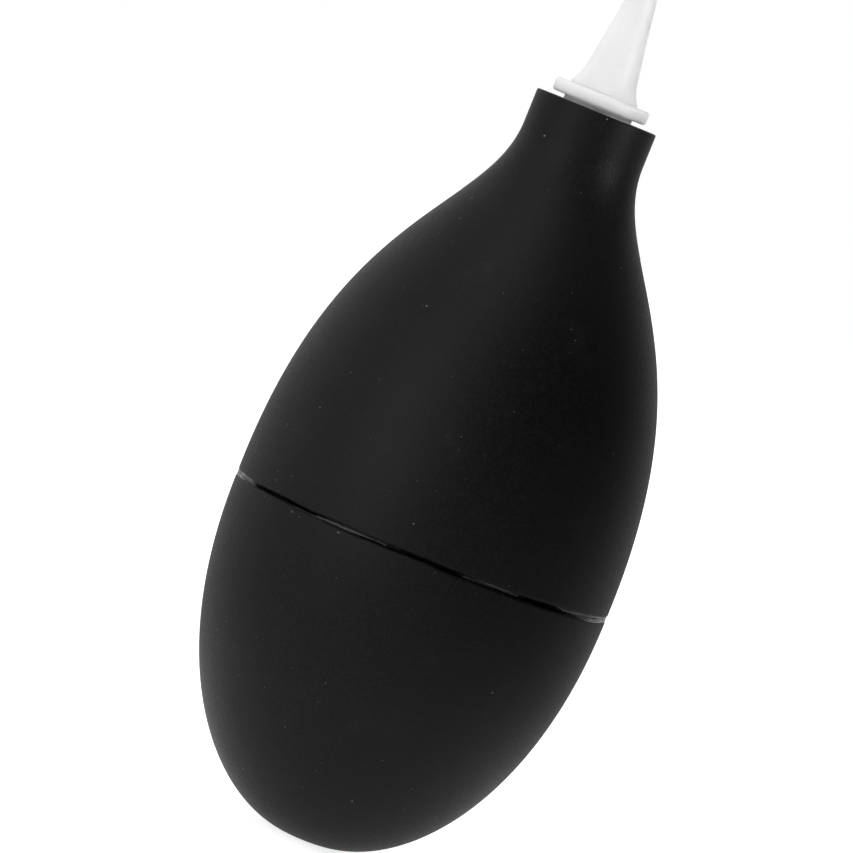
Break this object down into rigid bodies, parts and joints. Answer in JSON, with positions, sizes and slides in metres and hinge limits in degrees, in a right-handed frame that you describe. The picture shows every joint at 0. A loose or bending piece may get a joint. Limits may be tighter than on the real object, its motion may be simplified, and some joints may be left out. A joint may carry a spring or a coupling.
{
  "type": "dust blower bulb",
  "caption": "Egg-shaped rubber squeeze bulb with a bonded seam, a neck and a slender push-in plastic nozzle that blows dust off small work.",
  "frame": {"origin": "centre of the rounded base, at the mouth of the air inlet", "axes": "+Z along the bulb's axis, from the base towards the nozzle's tip; the part is round about Z"},
  "size_m": [0.055, 0.055, 0.1259],
  "materials": {
    "black_rubber": "matte",
    "seam_adhesive": "glossy",
    "white_plastic": "satin",
    "valve_plastic": "satin",
    "valve_rubber": "matte"
  },
  "bodies": {
    "bulb": {"upper_shell": "black_rubber", "lower_shell": "black_rubber", "seam_bead": "seam_adhesive"},
    "nozzle_body": {"nozzle": "white_plastic"},
    "inlet_valve": {"valve_body": "valve_plastic", "valve_cage": "valve_plastic"},
    "flap": {"valve_disc": "valve_rubber"}
  },
  "joints": [
    {"name": "nozzle_pull", "type": "slide", "parent": "bulb", "child": "nozzle_body", "axis": [0, 0, 1], "range_m": [-0.0005, 0.012]},
    {"name": "base_press", "type": "slide", "parent": "bulb", "child": "inlet_valve", "axis": [0, 0, 1], "range_m": [0, 0.016], "stiffness_N_per_m": 1500, "deforming": ["lower_shell"]},
    {"name": "flap_lift", "type": "slide", "parent": "inlet_valve", "child": "flap", "axis": [0, 0, 1], "range_m": [0, 0.0008]}
  ]
}
